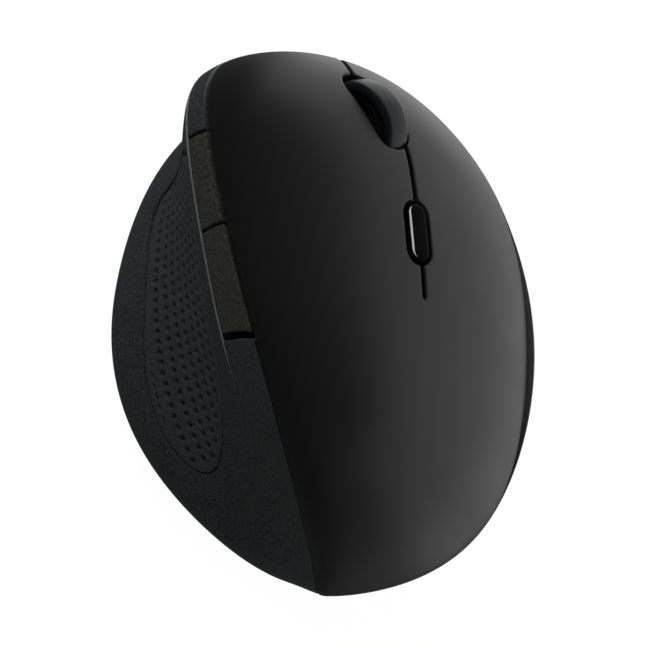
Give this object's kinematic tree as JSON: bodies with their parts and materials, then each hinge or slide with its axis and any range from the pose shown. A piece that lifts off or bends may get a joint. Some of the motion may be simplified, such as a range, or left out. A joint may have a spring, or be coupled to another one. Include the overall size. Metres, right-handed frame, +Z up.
{
  "type": "computer mouse",
  "caption": "Right-handed ergonomic wireless mouse: steep glossy crown with two keys, scroll wheel and speed button, dimpled thumb hollow and side buttons.",
  "frame": {"origin": "on the desk under the middle of the body", "axes": "+Y to the front (key end), +X to the outer side away from the thumb, +Z up"},
  "size_m": [0.0919, 0.1177, 0.0557],
  "materials": {
    "cover_gloss": "satin gloss",
    "side_plastic": "fine grain",
    "grip_rubber": "matt",
    "button_plastic": "satin",
    "bar_gloss": "gloss",
    "tyre_rubber": "matt",
    "base_plastic": "fine grain",
    "inner_plastic": "smooth",
    "circuit_board": "satin",
    "switch_plastic": "satin",
    "lens_clear": "clear",
    "slider_plastic": "smooth",
    "cell_jacket": "satin",
    "contact_metal": "bright",
    "receiver_plastic": "gloss",
    "foot_plastic": "waxy",
    "screw_steel": "zinc plated"
  },
  "bodies": {
    "body": {"base_shell": "base_plastic", "top_cover": "cover_gloss", "side_shell": "side_plastic", "thumb_grip": "grip_rubber", "side_carrier": "inner_plastic", "side_board": "circuit_board", "forward_switch": "switch_plastic", "back_switch": "switch_plastic", "wheel_switch": "switch_plastic", "key_deck": "inner_plastic", "key_board": "circuit_board", "left_switch": "switch_plastic", "right_switch": "switch_plastic", "speed_guide": "inner_plastic", "speed_switch": "switch_plastic", "main_board": "circuit_board", "sensor_chip": "switch_plastic", "sensor_lens": "lens_clear", "power_switch": "switch_plastic", "battery": "cell_jacket", "battery_spring": "contact_metal", "battery_plus_contact": "contact_metal", "receiver": "receiver_plastic", "foot_front": "foot_plastic", "foot_rear": "foot_plastic", "foot_left": "foot_plastic", "foot_right": "foot_plastic", "screw_rear_right": "screw_steel", "screw_rear": "screw_steel", "screw_rear_left": "screw_steel", "screw_front_left": "screw_steel"},
    "left_key": {"left_button": "cover_gloss"},
    "right_key": {"right_button": "cover_gloss"},
    "wheel_arm": {"wheel_cradle": "inner_plastic", "wheel_encoder": "switch_plastic"},
    "wheel": {"wheel_hub": "inner_plastic", "wheel_tyre": "tyre_rubber"},
    "speed_key": {"speed_button": "bar_gloss"},
    "forward_key": {"forward_button": "button_plastic"},
    "back_key": {"back_button": "button_plastic"},
    "switch_slider": {"power_slider": "slider_plastic"},
    "door": {"battery_door": "base_plastic"}
  },
  "joints": [
    {"name": "left_key_press", "type": "hinge", "parent": "body", "child": "left_key", "pos_m": [0.00205, -0.005, 0.0514], "axis": [-0.97, 0, 0.243], "range_deg": [0, 0.7], "stiffness_Nm_per_rad": 1.5, "springref_deg": -0.46},
    {"name": "right_key_press", "type": "hinge", "parent": "body", "child": "right_key", "pos_m": [0.0343, -0.005, 0.0284], "axis": [-0.5692, 0, 0.8222], "range_deg": [0, 0.7], "stiffness_Nm_per_rad": 1.5, "springref_deg": -0.46},
    {"name": "wheel_press", "type": "hinge", "parent": "body", "child": "wheel_arm", "pos_m": [0.01489, 0.02009, 0.03756], "axis": [-0.6348, -0.3974, 0.6627], "range_deg": [0, 0.7], "stiffness_Nm_per_rad": 1, "springref_deg": -0.46},
    {"name": "wheel_spin", "type": "hinge", "parent": "wheel_arm", "child": "wheel", "pos_m": [0.00817, 0.03463, 0.03984], "axis": [0.6348, 0.3974, -0.6627], "continuous": true},
    {"name": "speed_press", "type": "slide", "parent": "body", "child": "speed_key", "axis": [-0.5921, -0.047, -0.8045], "range_m": [0, 0.0005], "stiffness_N_per_m": 600, "springref_m": -0.0003},
    {"name": "forward_press", "type": "slide", "parent": "body", "child": "forward_key", "axis": [0.7879, 0.1707, -0.5917], "range_m": [0, 0.0006], "stiffness_N_per_m": 600, "springref_m": -0.0003},
    {"name": "back_press", "type": "slide", "parent": "body", "child": "back_key", "axis": [0.7879, 0.1707, -0.5917], "range_m": [0, 0.0006], "stiffness_N_per_m": 600, "springref_m": -0.0003},
    {"name": "power_slide", "type": "slide", "parent": "body", "child": "switch_slider", "axis": [0, 1, 0], "range_m": [0, 0.002]},
    {"name": "door_slide", "type": "slide", "parent": "body", "child": "door", "axis": [-1, 0, 0], "range_m": [0, 0.003]}
  ]
}
